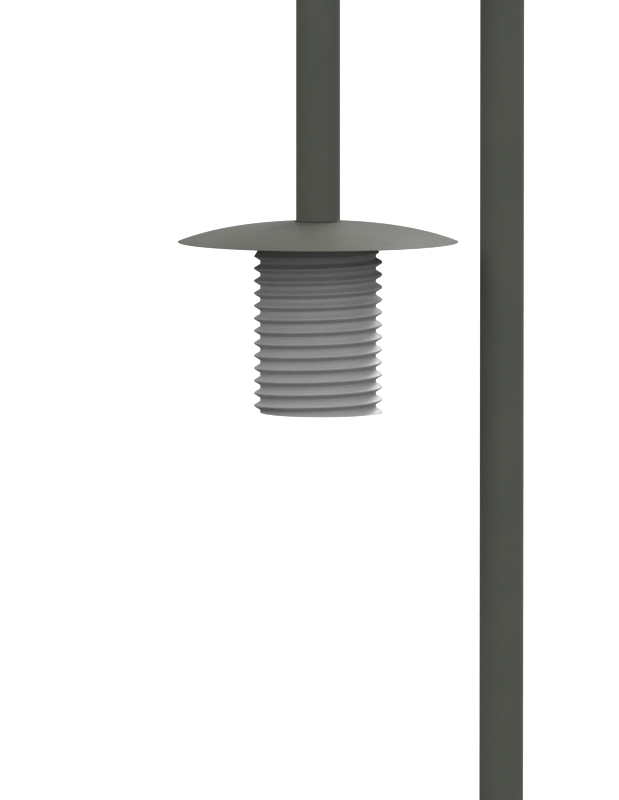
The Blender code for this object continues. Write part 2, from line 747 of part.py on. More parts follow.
def bevelled_fin(turn):
    """The housing's helical fin; its groove fades out under the bevel at the top end."""
    rows = thread_rows(turn, LAMP_FOOT, LAMP_TOP, FIN_PHASE, FIN_PITCH, FIN_TIP_R, FIN_ROOT_R,
                       FIN_TIP_HALF, FIN_ROOT_HALF)
    crest = FIN_PHASE + FIN_PITCH * (TOP_CREST + turn)
    start, end = GROOVE_FADE
    fade = min(max((turn - start) / (end - start), 0.0), 1.0)
    made = []
    for radius, height in rows:
        if height > crest:
            radius += (FIN_TIP_R - radius) * fade
        made.append((min(radius, TOP_BEVEL_R + TOP_BEVEL_SLOPE * (RIM_Z - height)), height))
    return made


def spigot():
    """The threaded spigot that the lamp housing screws onto."""
    foot, neck = SPIGOT_FOOT, RIM_Z - 0.0065
    top = UNDERPLATE_TOP

    def loop(turn):
        rows = thread_rows(turn, foot, neck, SCREW_PHASE, SCREW_PITCH, SCREW_MAJOR_R,
                           SCREW_MINOR_R, SCREW_TIP_HALF, SCREW_ROOT_HALF)
        return rows + [(SCREW_MINOR_R, neck), (SCREW_MINOR_R, top), (0.0420, top),
                       (0.0420, top - 0.0060), (0.0620, top - 0.0060), (0.0620, foot)]

    made = mesh_object("spigot", turned_mesh(loop, LAMP_SIDES), raw_alloy(), (LAMP_X, 0, 0))
    boolean(made, hole_cutter("spigot_drill", SPIGOT_SCREWS, 0.0027, 3.2, 3.32, (LAMP_X, 0, 0)))
    head_top = top - 0.0060 - GAP
    screws("spigot_screw", on_lamp(SPIGOT_SCREWS), 0.0023, 0.0045, head_top - 0.0040, head_top,
           RIM_Z + 0.0040)


def contact_block():
    """The insulator in the spigot's bore, and its two sprung pins."""
    loop = ring_loop(0.0, 0.0612, RIM_Z - 0.0345, RIM_Z - 0.0260)
    turned("contact_block", loop, black_plastic(), LAMP_SIDES, (LAMP_X, 0, 0))
    pin = turned("contact_pin", ring_loop(0.0, 0.0024, RIM_Z - 0.0437, RIM_Z - 0.0348),
                 contact_brass(), 10)
    copies(pin, on_lamp([(0.010, 0.004), (-0.030, 0.008)]))


# ---------------------------------------------------------------- lamp

def lamp_gasket():
    """The flat ring that seals the housing's top to the underplate."""
    return turned("lamp_gasket", ring_loop(0.0875, 0.0955, LAMP_TOP + GAP, CANOPY_EDGE - GAP),
                  black_rubber(), LAMP_SIDES, (LAMP_X, 0, 0))


def lamp_housing():
    """The finned housing: screw thread in its neck, ledges for the light engine and the glass."""
    neck_foot = RIM_Z - 0.0440

    def loop(turn):
        inside = thread_rows(turn, neck_foot, LAMP_TOP, SCREW_PHASE, SCREW_PITCH,
                             SCREW_MAJOR_R + SCREW_CLEARANCE, SCREW_MINOR_R + SCREW_CLEARANCE,
                             SCREW_TIP_HALF, SCREW_ROOT_HALF)
        cavity = [(0.0925, neck_foot - 0.012), (0.0925, LAMP_FOOT + 0.121),
                  (0.0680, LAMP_FOOT + 0.113), (0.0680, LAMP_FOOT + 0.105),
                  (0.0775, LAMP_FOOT + 0.105), (0.0775, LAMP_FOOT + 0.016),
                  (0.0935, LAMP_FOOT + 0.016), (0.0935, LAMP_FOOT)]
        return bevelled_fin(turn) + inside[::-1] + cavity

    housing = mesh_object("lamp_housing", turned_mesh(loop, LAMP_SIDES), housing_alloy(),
                          (LAMP_X, 0, 0))
    boolean(housing, hole_cutter("bezel_tap", BEZEL_SCREWS, 0.0019, LAMP_FOOT + 0.010,
                                 LAMP_FOOT + 0.026, (LAMP_X, 0, 0)))
    boolean(housing, hole_cutter("spreader_tap", SPREADER_SCREWS, 0.0019, LAMP_FOOT + 0.100,
                                 LAMP_FOOT + 0.1112, (LAMP_X, 0, 0)))
    return housing


def heat_spreader():
    low, high = LAMP_FOOT + 0.0967, LAMP_FOOT + 0.1047
    disc = turned("heat_spreader", ring_loop(0.0, 0.0765, low, high), raw_alloy(), LAMP_SIDES,
                  (LAMP_X, 0, 0))
    boolean(disc, hole_cutter("spreader_drill", SPREADER_SCREWS, 0.0019, low - 0.01, high + 0.01,
                              (LAMP_X, 0, 0)))
    return [disc] + screws("spreader_screw", on_lamp(SPREADER_SCREWS), 0.0015, 0.0028,
                           low - 0.0023, low - GAP, LAMP_FOOT + 0.1105)


def light_engine():
    """The board with its lens plate, and the bright cone from there down to the glass."""
    face = LAMP_FOOT + 0.0967 - GAP
    board = turned("led_board", ring_loop(0.0, 0.0600, face - 0.0016, face),
                   material("board_white", (0.80, 0.80, 0.78), 0.45), LAMP_SIDES, (LAMP_X, 0, 0))
    plate_top = face - 0.0016 - GAP
    lenses = bmesh.new()
    turned_mesh(lambda turn: ring_loop(0.0, 0.0590, plate_top - 0.0020, plate_top), LAMP_SIDES,
                lenses)
    plate = mesh_object("lens_plate", lenses, material("clear_lens", (0.9, 0.92, 0.93), 0.05),
                        (LAMP_X, 0, 0))
    domes = bmesh.new()
    dome_loop = [(0, plate_top), (0.0070, plate_top), (0.0070, plate_top - 0.0035),
                 (0.0052, plate_top - 0.0065), (0, plate_top - 0.0080)]
    for x, y in [(0.0, 0.0)] + ring_places(6, 0.022) + ring_places(12, 0.044, pi / 12):
        turned_mesh(lambda turn: dome_loop, 6, domes, (x, y, 0))
    boolean(plate, cutter("lens_domes", domes, (LAMP_X, 0, 0)), "UNION")
    low, high = LAMP_FOOT + 0.0180, LAMP_FOOT + 0.0940
    cone = [(0.0748, low), (0.0764, low), (0.0650, high), (0.0634, high)]
    reflector = turned("reflector", cone, raw_alloy(), LAMP_SIDES, (LAMP_X, 0, 0))
    return [board, plate, reflector]


def driver_set():
    """The driver stands on the heat spreader and carries the contact disc on a hollow pillar."""
    low = LAMP_FOOT + 0.1047 + GAP
    high = low + 0.045
    driver = turned("led_driver", ring_loop(0.0, 0.0550, low, high), black_plastic(), 24,
                    (LAMP_X, 0, 0))
    disc_top = RIM_Z - 0.0440
    disc = turned("contact_disc", ring_loop(0.0, 0.0500, disc_top - 0.0020, disc_top),
                  contact_brass(), 24, (LAMP_X, 0, 0))
    pillar = turned("contact_pillar", ring_loop(0.0100, 0.0120, high + GAP,
                                                disc_top - 0.0020 - GAP), grey_plastic(), 16,
                    (LAMP_X, 0, 0))
    return [driver, disc, pillar]


def glass_set():
    """The glass, its seal, and the bezel that holds them in the housing's foot."""
    seal = turned("glass_seal", ring_loop(0.0779, 0.0826, LAMP_FOOT + 0.0116,
                                          LAMP_FOOT + 0.0157), black_rubber(), LAMP_SIDES,
                  (LAMP_X, 0, 0))
    glass = turned("lamp_glass", ring_loop(0.0, 0.0828, LAMP_FOOT + 0.0063, LAMP_FOOT + 0.0113),
                   material("lamp_glass", (0.85, 0.88, 0.88), 0.08), LAMP_SIDES, (LAMP_X, 0, 0))
    low, high = LAMP_FOOT + 0.0020, LAMP_FOOT + 0.0157
    loop = [(0.0775, low), (0.0928, low), (0.0928, high), (0.0838, high),
            (0.0838, low + 0.0040), (0.0775, low + 0.0040)]
    bezel = turned("bezel_ring", loop, housing_alloy(), LAMP_SIDES, (LAMP_X, 0, 0))
    boolean(bezel, hole_cutter("bezel_drill", BEZEL_SCREWS, 0.0019, low - 0.01, high + 0.01,
                               (LAMP_X, 0, 0)))
    boolean(bezel, hole_cutter("bezel_sink", BEZEL_SCREWS, 0.0034, low - 0.01, low + 0.0030,
                               (LAMP_X, 0, 0)))
    return [seal, glass, bezel] + screws("bezel_screw", on_lamp(BEZEL_SCREWS), 0.0015, 0.0030,
                                         low + 0.0005, low + 0.0027, LAMP_FOOT + 0.0250)


def lamp_set():
    """All that comes down when the housing is unscrewed."""
    lamp_pivot = pivot("lamp_pivot", Vector((LAMP_X, 0, LAMP_TOP)))
    pieces = [lamp_gasket(), lamp_housing()] + heat_spreader() + light_engine()
    hang_on(lamp_pivot, pieces + driver_set() + glass_set())


# ---------------------------------------------------------------- assembly

def build():
    for old in list(bpy.data.objects):
        bpy.data.objects.remove(old, do_unlink=True)
    base_plate()
    base_weld()
    base_shaft()
    door_seat()
    shoulder_collar()
    spacer_ring()
    crook_tube()
    door_set()
    mounting_board()
    fuse_unit()
    terminal_block()
    earthing()
    link_wire()
    supply_cable()
    canopy()
    tube_seal()
    canopy_hub()
    canopy_underplate()
    spigot()
    contact_block()
    lamp_set()


build()
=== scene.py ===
"""The looks of the crook lamp post: fine meshes, finishes, floor, light and camera.

Metres, +Z up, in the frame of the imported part.  The post's axis is at x = 0, y = 0, the lamp hangs
on the -X side, and the service door faces -Y, towards the camera.
"""
import json
from math import acos, atan2, ceil, cos, floor, pi, radians, sin

import bmesh
import bpy
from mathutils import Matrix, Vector


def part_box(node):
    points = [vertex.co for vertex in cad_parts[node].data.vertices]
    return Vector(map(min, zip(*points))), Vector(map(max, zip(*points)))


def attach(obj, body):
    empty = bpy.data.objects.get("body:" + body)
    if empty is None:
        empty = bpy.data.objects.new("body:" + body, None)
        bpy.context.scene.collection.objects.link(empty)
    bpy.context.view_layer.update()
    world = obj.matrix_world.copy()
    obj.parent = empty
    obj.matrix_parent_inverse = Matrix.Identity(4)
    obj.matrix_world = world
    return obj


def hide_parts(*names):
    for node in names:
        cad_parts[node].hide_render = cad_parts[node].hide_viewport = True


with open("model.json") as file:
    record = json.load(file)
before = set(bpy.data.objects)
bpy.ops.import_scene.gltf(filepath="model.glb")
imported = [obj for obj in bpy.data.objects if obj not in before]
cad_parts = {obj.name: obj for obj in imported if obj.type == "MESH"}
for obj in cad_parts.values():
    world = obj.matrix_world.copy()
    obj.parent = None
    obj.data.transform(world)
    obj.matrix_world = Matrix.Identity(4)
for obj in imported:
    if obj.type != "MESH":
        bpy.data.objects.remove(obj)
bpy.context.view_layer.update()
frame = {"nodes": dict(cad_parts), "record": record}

# ---------------------------------------------------------------- places read from the frame


def heights(node):
    """Foot and top of a node."""
    low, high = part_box(node)
    return low.z, high.z


def turned_size(node):
    """Middle (x, y), outer radius, foot and top of a node that is round about Z."""
    low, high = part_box(node)
    return (low.x + high.x) / 2, (low.y + high.y) / 2, (high.x - low.x) / 2, low.z, high.z


LAMP_X = -0.3168
LAMP_FOOT, LAMP_TOP = heights("lamp_housing")
RIM_Z = LAMP_TOP + 0.0060
GAP = 0.0003

# Sides of the round pieces
TUBE_SIDES = 96
ROUND_SIDES = 96
FINE_SIDES = 160

# Foot
PLATE_CORNER = 0.035
ANCHOR_REACH = 0.150
ANCHOR_HOLE_R = 0.012
CABLE_ENTRY_Y = 0.028
CABLE_ENTRY_R = 0.017
WELD_LEG = 0.0076
WELD_SWELL = 0.00022
WELD_RIPPLES = 110

# Tube and shaft
TUBE_R = 0.03805
TUBE_WALL = 0.0032
BEND_R = -LAMP_X / 2
BEND_Z = 3.750
SHAFT_R = 0.05715
SHAFT_BORE_R = 0.05355
COLLAR_SKIRT = 0.006

# Service door
DOOR_WIDTH = 0.085
DOOR_LOW = 0.400
DOOR_HIGH = 0.800
DOOR_CORNER = 0.018
DOOR_CLEARANCE = 0.0012
WALL_OVERRUN = 0.020
SEAT_WALL = 0.0025
SEAT_LAP = 0.009
SEAT_LIP = 0.006
KEEP_HALF = 0.012
KEEP_FRONT = 0.0516
KEEP_BACK = 0.0406
KEEP_LOW = DOOR_HIGH - 0.003
KEEP_HIGH = DOOR_HIGH + 0.008
HINGE_ANGLE = radians(50)
HINGE_AXIS_R = 0.0621
KNUCKLE_R = 0.0045
PIN_R = 0.0020
LEAF_THICK = 0.0020
LEAF_ARC = radians(17)
LEAF_HEIGHT = 0.020
HINGE_HEIGHTS = (("lower", 0.455), ("upper", 0.715))
LOCK_Z = 0.772
LOCK_HOLE_R = 0.0115
LOCK_BACK = 0.0403
BARREL_BORE_R = 0.0050
BARREL_R = 0.0110
FLANGE_R = 0.0140
SPINDLE_R = 0.0046
SPINDLE_FRONT = 0.0565
KEY_BOSS_R = 0.0038
KEY_BOSS_FRONT = 0.0595

# Canopy
CANOPY_R = 0.2421
CANOPY_RISE = 0.0354
CANOPY_SHELL = 0.0018
CANOPY_EDGE_R = 0.2400
CANOPY_EDGE = RIM_Z - 0.0008
CANOPY_CURVE = (0.70, 0.30)
SEAL_REACH = 0.0024
SEAL_HEIGHT = 0.0022
UNDERPLATE_BORE_R = 0.0745
GASKET_BORE_R = 0.0875

# Lamp housing's helical fin and the hidden screw thread
FIN = dict(phase=RIM_Z - 0.2724, pitch=0.021548, tip_r=0.1107, root_r=0.1000, tip_half=0.00135,
           root_half=0.0079, blur=0.0007)
TOP_CREST = 11
GROOVE_FADE = (0.30, 0.36)
TOP_BEVEL_R = 0.0945
TOP_BEVEL_SLOPE = 0.64
SCREW = dict(phase=RIM_Z - 0.0120, pitch=0.008, tip_r=0.0720, root_r=0.0695, tip_half=0.0008,
             root_half=0.0032, blur=0.0003)
SCREW_CLEARANCE = 0.0009
SPIGOT_NECK = RIM_Z - 0.0065
SPIGOT_BORE_R = 0.0620
SPIGOT_HOLE_R = 0.0420
SPIGOT_LID = 0.0060

# Inside the housing: (radius, height) of the steps from its neck down to its foot
NECK_FOOT = RIM_Z - 0.0440
CAVITY = ((0.0925, NECK_FOOT - 0.012), (0.0925, LAMP_FOOT + 0.121), (0.0680, LAMP_FOOT + 0.113),
          (0.0680, LAMP_FOOT + 0.105), (0.0775, LAMP_FOOT + 0.105), (0.0775, LAMP_FOOT + 0.016),
          (0.0935, LAMP_FOOT + 0.016), (0.0935, LAMP_FOOT))
BEZEL_BORE_R = 0.0775
BEZEL_R = 0.0928
BEZEL_STEP_R = 0.0838
BEZEL_STEP = 0.0040
BEZEL_SCREW_RING_R = 0.0885
GLASS_SEAL_BORE_R = 0.0779
REFLECTOR_MOUTH_R = 0.0764
REFLECTOR_NECK_R = 0.0650
REFLECTOR_WALL = 0.0016
LENS_PLATE_R = 0.0590
LENS_PLATE_THICK = 0.0020
LENS_R = 0.0072
LENS_RINGS = ((1, 0.0, 0.0), (6, 0.022, 0.0), (12, 0.044, pi / 12))

# Light: (place from straight down to straight up, strength), then the swing to either side
SKY_STOPS = ((0.00, 0.13), (0.49, 0.16), (0.58, 0.52), (0.74, 1.22), (1.00, 0.94))
SKY_SIDE = 0.12
SKY_FRONT = 0.36
SUN_STRENGTH = 2.2
SUN_SPREAD = radians(35)
SUN_PLACE = (0.44, 0.68, 0.58)

# Camera
CAMERA_DISTANCE = 20.7
CAMERA_LENS = 540.0
CAMERA_PITCH = radians(4.66)
AIM_X = LAMP_X - 0.0148
AIM_Z = RIM_Z - 0.2739

# ---------------------------------------------------------------- node materials


class Finish:
    """A Principled material with short calls for the nodes that vary it."""

    def __init__(self, name, colour, roughness, metallic=0.0):
        self.material = bpy.data.materials.new(name)
        self.material.use_nodes = True
        self.tree = self.material.node_tree
        self.shader = self.tree.nodes["Principled BSDF"]
        self.shader.inputs["Base Color"].default_value = (*colour, 1.0)
        self.shader.inputs["Roughness"].default_value = roughness
        self.shader.inputs["Metallic"].default_value = metallic
        self.coordinates = self.tree.nodes.new("ShaderNodeTexCoord")
        self.normal = None

    def noise(self, scale, detail=3.0, roughness=0.5, stretch=(1, 1, 1)):
        """A noise value in object space; scale is cycles per metre."""
        mapping = self.tree.nodes.new("ShaderNodeMapping")
        mapping.inputs["Scale"].default_value = stretch
        self.tree.links.new(self.coordinates.outputs["Object"], mapping.inputs["Vector"])
        noise = self.tree.nodes.new("ShaderNodeTexNoise")
        noise.inputs["Scale"].default_value = scale
        noise.inputs["Detail"].default_value = detail
        noise.inputs["Roughness"].default_value = roughness
        self.tree.links.new(mapping.outputs["Vector"], noise.inputs["Vector"])
        return noise.outputs["Fac"]

    def cells(self, scale):
        """Cell colours as grey values, for zinc spangle."""
        voronoi = self.tree.nodes.new("ShaderNodeTexVoronoi")
        voronoi.inputs["Scale"].default_value = scale
        self.tree.links.new(self.coordinates.outputs["Object"], voronoi.inputs["Vector"])
        grey = self.tree.nodes.new("ShaderNodeRGBToBW")
        self.tree.links.new(voronoi.outputs["Color"], grey.inputs["Color"])
        return grey.outputs["Val"]

    def span(self, value, low, high, to_low, to_high):
        """The value moved from one range to another."""
        ranged = self.tree.nodes.new("ShaderNodeMapRange")
        for socket, number in (("From Min", low), ("From Max", high), ("To Min", to_low),
                               ("To Max", to_high)):
            ranged.inputs[socket].default_value = number
        self.tree.links.new(value, ranged.inputs["Value"])
        return ranged.outputs["Result"]

    def colours(self, value, stops):
        """Base colour from a ramp of (position, colour) stops."""
        ramp = self.tree.nodes.new("ShaderNodeValToRGB")
        elements = ramp.color_ramp.elements
        while len(elements) < len(stops):
            elements.new(0.5)
        for element, (position, colour) in zip(elements, stops):
            element.position = position
            element.color = (*colour, 1.0)
        self.tree.links.new(value, ramp.inputs["Fac"])
        self.tree.links.new(ramp.outputs["Color"], self.shader.inputs["Base Color"])

    def rough(self, value, smooth, coarse):
        """Roughness that runs from smooth to coarse with the value."""
        self.tree.links.new(self.span(value, 0.3, 0.7, smooth, coarse),
                            self.shader.inputs["Roughness"])

    def bump(self, value, depth):
        """Relief of the given depth in metres, on top of any relief before it."""
        bump = self.tree.nodes.new("ShaderNodeBump")
        bump.inputs["Strength"].default_value = 1.0
        bump.inputs["Distance"].default_value = depth
        self.tree.links.new(value, bump.inputs["Height"])
        if self.normal:
            self.tree.links.new(self.normal, bump.inputs["Normal"])
        self.normal = bump.outputs["Normal"]
        self.tree.links.new(self.normal, self.shader.inputs["Normal"])


def tint(colour, factor):
    """A colour made lighter or darker."""
    return tuple(min(channel * factor, 1.0) for channel in colour)


def powder_coat(name, colour, roughness, gloss=0.5, peel=0.00001):
    """Satin powder coat with orange peel and faint mottling."""
    made = Finish(name, colour, roughness)
    mottle = made.noise(9.0, 4.0, 0.6)
    made.colours(mottle, ((0.30, tint(colour, 0.95)), (0.70, tint(colour, 1.05))))
    made.rough(made.noise(38.0, 3.0), roughness - 0.04, roughness + 0.05)
    made.bump(made.noise(420.0, 2.0, 0.45), peel)
    made.bump(made.noise(60.0, 2.0), peel * 2)
    made.shader.inputs["Specular IOR Level"].default_value = gloss
    return made.material


def cast_alloy(name, colour, roughness):
    """Satin cast alloy under its grey oxide: a fine grain and soft flow marks."""
    made = Finish(name, colour, roughness)
    made.colours(made.noise(14.0, 5.0, 0.6), ((0.30, tint(colour, 0.96)),
                                              (0.70, tint(colour, 1.04))))
    made.rough(made.noise(55.0, 3.0), roughness - 0.04, roughness + 0.06)
    made.bump(made.noise(900.0, 3.0, 0.6), 0.00001)
    made.bump(made.noise(120.0, 2.0), 0.00003)
    return made.material


def zinc(name):
    """Hot-dip zinc with its spangle."""
    made = Finish(name, (0.52, 0.53, 0.54), 0.46, 0.85)
    made.colours(made.cells(95.0), ((0.2, (0.40, 0.41, 0.42)), (0.8, (0.60, 0.61, 0.62))))
    made.rough(made.noise(60.0, 4.0), 0.38, 0.58)
    made.bump(made.noise(240.0, 3.0), 0.00006)
    return made.material


def machined(name, colour, roughness, grain=(1, 1, 12)):
    """Turned or drawn metal: fine lines along one direction."""
    made = Finish(name, colour, roughness, 1.0)
    lines = made.noise(260.0, 4.0, 0.6, grain)
    made.colours(lines, ((0.25, tint(colour, 0.90)), (0.75, tint(colour, 1.06))))
    made.rough(lines, roughness - 0.06, roughness + 0.10)
    made.bump(lines, 0.00002)
    return made.material


def moulded(name, colour, roughness):
    """Moulded plastic or rubber with a spark-eroded grain."""
    made = Finish(name, colour, roughness)
    made.colours(made.noise(60.0, 3.0), ((0.3, tint(colour, 0.90)), (0.7, tint(colour, 1.10))))
    made.rough(made.noise(400.0, 2.0), roughness - 0.05, roughness + 0.08)
    made.bump(made.noise(1500.0, 2.0), 0.00003)
    return made.material


def clear(name, tone, roughness):
    """Glass or clear plastic, with a faint film of dust in its gloss."""
    made = Finish(name, tone, roughness)
    made.shader.inputs["Transmission Weight"].default_value = 1.0
    made.shader.inputs["IOR"].default_value = 1.50
    made.rough(made.noise(70.0, 5.0, 0.65), roughness, roughness + 0.06)
    made.bump(made.noise(30.0, 2.0), 0.00002)
    return made.material


COAT = (0.110, 0.117, 0.097)
FINISHES = {
    "post_coat": powder_coat("post_coat", COAT, 0.50, 0.30),
    "canopy_coat": powder_coat("canopy_coat", COAT, 0.44, 0.10),
    "housing_alloy": cast_alloy("housing_alloy", (0.47, 0.47, 0.47), 0.50),
    "galvanised_steel": zinc("galvanised_steel"),
    "stainless": machined("stainless", (0.62, 0.61, 0.59), 0.28),
    "raw_alloy": machined("raw_alloy", (0.72, 0.73, 0.74), 0.38),
    "bright_alloy": machined("bright_alloy", (0.86, 0.87, 0.88), 0.16),
    "contact_brass": machined("contact_brass", (0.72, 0.53, 0.22), 0.30),
    "rubber_seal": moulded("rubber_seal", (0.020, 0.020, 0.020), 0.72),
    "cable_sheath": moulded("cable_sheath", (0.025, 0.025, 0.027), 0.55),
    "grey_plastic": moulded("grey_plastic", (0.30, 0.31, 0.32), 0.50),
    "black_plastic": moulded("black_plastic", (0.025, 0.025, 0.027), 0.45),
    "board_white": moulded("board_white", (0.80, 0.80, 0.78), 0.40),
    "clear_lens": clear("clear_lens", (0.95, 0.96, 0.96), 0.03),
    "lamp_glass": clear("lamp_glass", (0.90, 0.94, 0.93), 0.01),
}


def finish_cad_nodes():
    """Every CAD node that stays in view takes its slot's material."""
    for entry in frame["record"]["subparts"]:
        node = frame["nodes"][entry["node"]]
        node.data.materials.clear()
        node.data.materials.append(FINISHES[entry["material_slot"]])
        for polygon in node.data.polygons:
            polygon.material_index = 0
            polygon.use_smooth = True
        node.data.set_sharp_from_angle(angle=radians(35))


# ---------------------------------------------------------------- mesh helpers

def finished(name, mesh_data, body, slot, nodes=(), smooth=38):
    """Turn a bmesh into a piece: its material, the body it rides on and the nodes it replaces."""
    bmesh.ops.recalc_face_normals(mesh_data, faces=mesh_data.faces)
    mesh = bpy.data.meshes.new(name)
    mesh_data.to_mesh(mesh)
    mesh_data.free()
    mesh.materials.append(FINISHES[slot])
    mesh.shade_smooth()
    mesh.set_sharp_from_angle(angle=radians(smooth))
    piece = bpy.data.objects.new(name, mesh)
    bpy.context.scene.collection.objects.link(piece)
    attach(piece, body)
    if nodes:
        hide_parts(*nodes)
    return piece


def softened(loop, radius, steps=3):
    """Round every corner of a closed outline, except those on the axis."""
    points = []
    count = len(loop)
    for index, place in enumerate(loop):
        corner = Vector(place)
        back = Vector(loop[index - 1]) - corner
        ahead = Vector(loop[(index + 1) % count]) - corner
        if corner.x < 1e-6 or back.angle(ahead, pi) > radians(172):
            points.append(tuple(corner))
            continue
        reach = min(radius, 0.45 * back.length, 0.45 * ahead.length)
        start = corner + back.normalized() * reach
        end = corner + ahead.normalized() * reach
        for step in range(steps + 1):
            share = step / steps
            points.append(tuple(start * (1 - share) ** 2 + corner * 2 * share * (1 - share)
                                + end * share ** 2))
    return points


def turned_mesh(loops_at, sides, mesh_data=None, centre=(0, 0, 0)):
    """Sweep closed (radius, height) loops round Z; a loop may change with the turn.

    Points that fall on one place become one vertex, so a thread meets itself one pitch up.
    """
    mesh_data = mesh_data or bmesh.new()
    corners = {}

    def corner(point):
        key = tuple(round(value, 7) for value in point)
        if key not in corners:
            corners[key] = mesh_data.verts.new(point)
        return corners[key]

    columns = []
    for step in range(sides + 1):
        turn = step / sides
        across, along = cos(2 * pi * turn), sin(2 * pi * turn)
        if step == sides:
            across, along = 1.0, 0.0
        columns.append([corner((centre[0] + radius * across, centre[1] + radius * along,
                                centre[2] + height)) for radius, height in loops_at(turn)])
    for left, right in zip(columns, columns[1:]):
        count = len(left)
        for row in range(count):
            following = (row + 1) % count
            ring = []
            for vertex in (left[row], right[row], right[following], left[following]):
                if vertex not in ring:
                    ring.append(vertex)
            if len(ring) > 2 and not mesh_data.faces.get(ring):
                mesh_data.faces.new(ring)
    return mesh_data


def turned(name, loop, body, slot, nodes=(), centre=(0, 0), sides=ROUND_SIDES, edge=0.0004):
    """A turned piece with softened edges, from a closed (radius, height) loop."""
    soft = softened(loop, edge)
    mesh_data = turned_mesh(lambda turn: soft, sides, centre=(centre[0], centre[1], 0))
    return finished(name, mesh_data, body, slot, nodes)


def ring_loop(inner, outer, low, high):
    """The closed (radius, height) outline of a plain ring."""
    return [(inner, low), (outer, low), (outer, high), (inner, high)]


def replaced_ring(node, body, slot, inner, edge=0.0004, sides=ROUND_SIDES):
    """A fine version of a plain round node: its outer size from the frame, its bore given."""
    x, y, outer, low, high = turned_size(node)
    return turned(node + "_fine", ring_loop(inner, outer, low, high), body, slot, (node,),
                  (x, y), sides, edge)


def prism_mesh(outline, low, high, mesh_data=None):
    """Extrude a closed (x, y) outline from z = low to z = high."""
    mesh_data = mesh_data or bmesh.new()
    foot = [mesh_data.verts.new((x, y, low)) for x, y in outline]
    head = [mesh_data.verts.new((x, y, high)) for x, y in outline]
    mesh_data.faces.new(foot)
    mesh_data.faces.new(head)
    count = len(outline)
    for index in range(count):
        following = (index + 1) % count
        mesh_data.faces.new((foot[index], foot[following], head[following], head[index]))
    return mesh_data


def rounded_outline(width, depth, corner, steps=10):
    """The (x, y) outline of a rectangle with round corners."""
    points = []
    for quarter, (side, up) in enumerate(((1, 1), (-1, 1), (-1, -1), (1, -1))):
        for step in range(steps + 1):
            angle = (quarter + step / steps) * pi / 2
            points.append((side * (width / 2 - corner) + corner * cos(angle),
                           up * (depth / 2 - corner) + corner * sin(angle)))
    return points


def round_outline(radius, sides, centre=(0, 0), start=0.0):
    """The (x, y) outline of a circle, or of a regular polygon with few sides."""
    return [(centre[0] + radius * cos(start + 2 * pi * step / sides),
             centre[1] + radius * sin(start + 2 * pi * step / sides)) for step in range(sides)]


def tool_object(name, mesh_data, location=(0, 0, 0), rotation=(0, 0, 0)):
    """A solid for a Boolean, deleted once it is used."""
    bmesh.ops.recalc_face_normals(mesh_data, faces=mesh_data.faces)
    mesh = bpy.data.meshes.new(name)
    mesh_data.to_mesh(mesh)
    mesh_data.free()
    tool = bpy.data.objects.new(name, mesh)
    tool.location = location
    tool.rotation_euler = rotation
    bpy.context.scene.collection.objects.link(tool)
    return tool


def carve(piece, tool, operation="DIFFERENCE"):
    """Apply a Boolean to a piece and remove the tool."""
    cut = piece.modifiers.new(operation.title(), "BOOLEAN")
    cut.operation = operation
    cut.solver = "EXACT"
    cut.object = tool
    apply_modifiers(piece)
    bpy.data.objects.remove(tool)


def apply_modifiers(piece):
    """Replace the piece's mesh by its evaluated one."""
    bpy.context.view_layer.update()
    evaluated = piece.evaluated_get(bpy.context.evaluated_depsgraph_get())
    mesh = bpy.data.meshes.new_from_object(evaluated)
    piece.modifiers.clear()
    piece.data = mesh


def bevel(piece, width, segments=3, angle=40):
    """Soften the piece's sharp edges."""
    made = piece.modifiers.new("Soft edges", "BEVEL")
    made.width = width
    made.segments = segments
    made.limit_method = "ANGLE"
    made.angle_limit = radians(angle)
    made.harden_normals = True
    apply_modifiers(piece)


# ---------------------------------------------------------------- threads

def trapezoid(offset, pitch, tip_r, root_r, tip_half, root_half):
    """Radius of a flat-topped thread at a height offset from a tip's middle."""
    away = abs((offset + pitch / 2) % pitch - pitch / 2)
    share = min(max((away - tip_half) / (root_half - tip_half), 0.0), 1.0)
    return tip_r + (root_r - tip_r) * share


def thread_rows(turn, low, high, phase, pitch, tip_r, root_r, tip_half, root_half, blur):
    """The thread's (radius, height) points at one turn angle, cut flat at low and high.

    The radius is averaged over a short height, which rounds tips and roots as a tool does.
    """
    offsets = []
    for corner in (-root_half, -tip_half, tip_half, root_half):
        offsets += [corner + blur * step for step in (-1.0, -0.5, 0.0, 0.5, 1.0)]
    for share in (0.25, 0.5, 0.75):
        flank = tip_half + (root_half - tip_half) * share
        offsets += [-flank, flank]
    offsets = sorted(offsets + [0.0])
    samples = [blur * step / 3 for step in range(-3, 4)]
    rows = []
    first = floor((low - phase) / pitch) - 2
    last = ceil((high - phase) / pitch) + 1
    for count in range(first, last + 1):
        for offset in offsets:
            height = min(max(phase + pitch * (count + turn) + offset, low), high)
            place = height - phase - pitch * turn
            radius = sum(trapezoid(place + sample, pitch, tip_r, root_r, tip_half, root_half)
                         for sample in samples) / len(samples)
            rows.append((radius, height))
    return rows


# ---------------------------------------------------------------- post

def base_plate():
    """Galvanised flange with its drilled holes and softened edges."""
    low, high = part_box("base_plate")
    side = high.x - low.x
    outline = rounded_outline(side, side, PLATE_CORNER)
    plate = finished("base_plate_fine", prism_mesh(outline, low.z, high.z), "post",
                     "galvanised_steel", ("base_plate",))
    places = [(x, y, ANCHOR_HOLE_R) for x in (-ANCHOR_REACH, ANCHOR_REACH)
              for y in (-ANCHOR_REACH, ANCHOR_REACH)]
    places += [(0, y, CABLE_ENTRY_R) for y in (-CABLE_ENTRY_Y, CABLE_ENTRY_Y)]
    holes = bmesh.new()
    for x, y, radius in places:
        prism_mesh(round_outline(radius, 48, (x, y)), low.z - 0.01, high.z + 0.014, holes)
    carve(plate, tool_object("holes", holes))
    bevel(plate, 0.0010)
    plate.data.shade_smooth()
    plate.data.set_sharp_from_angle(angle=radians(30))


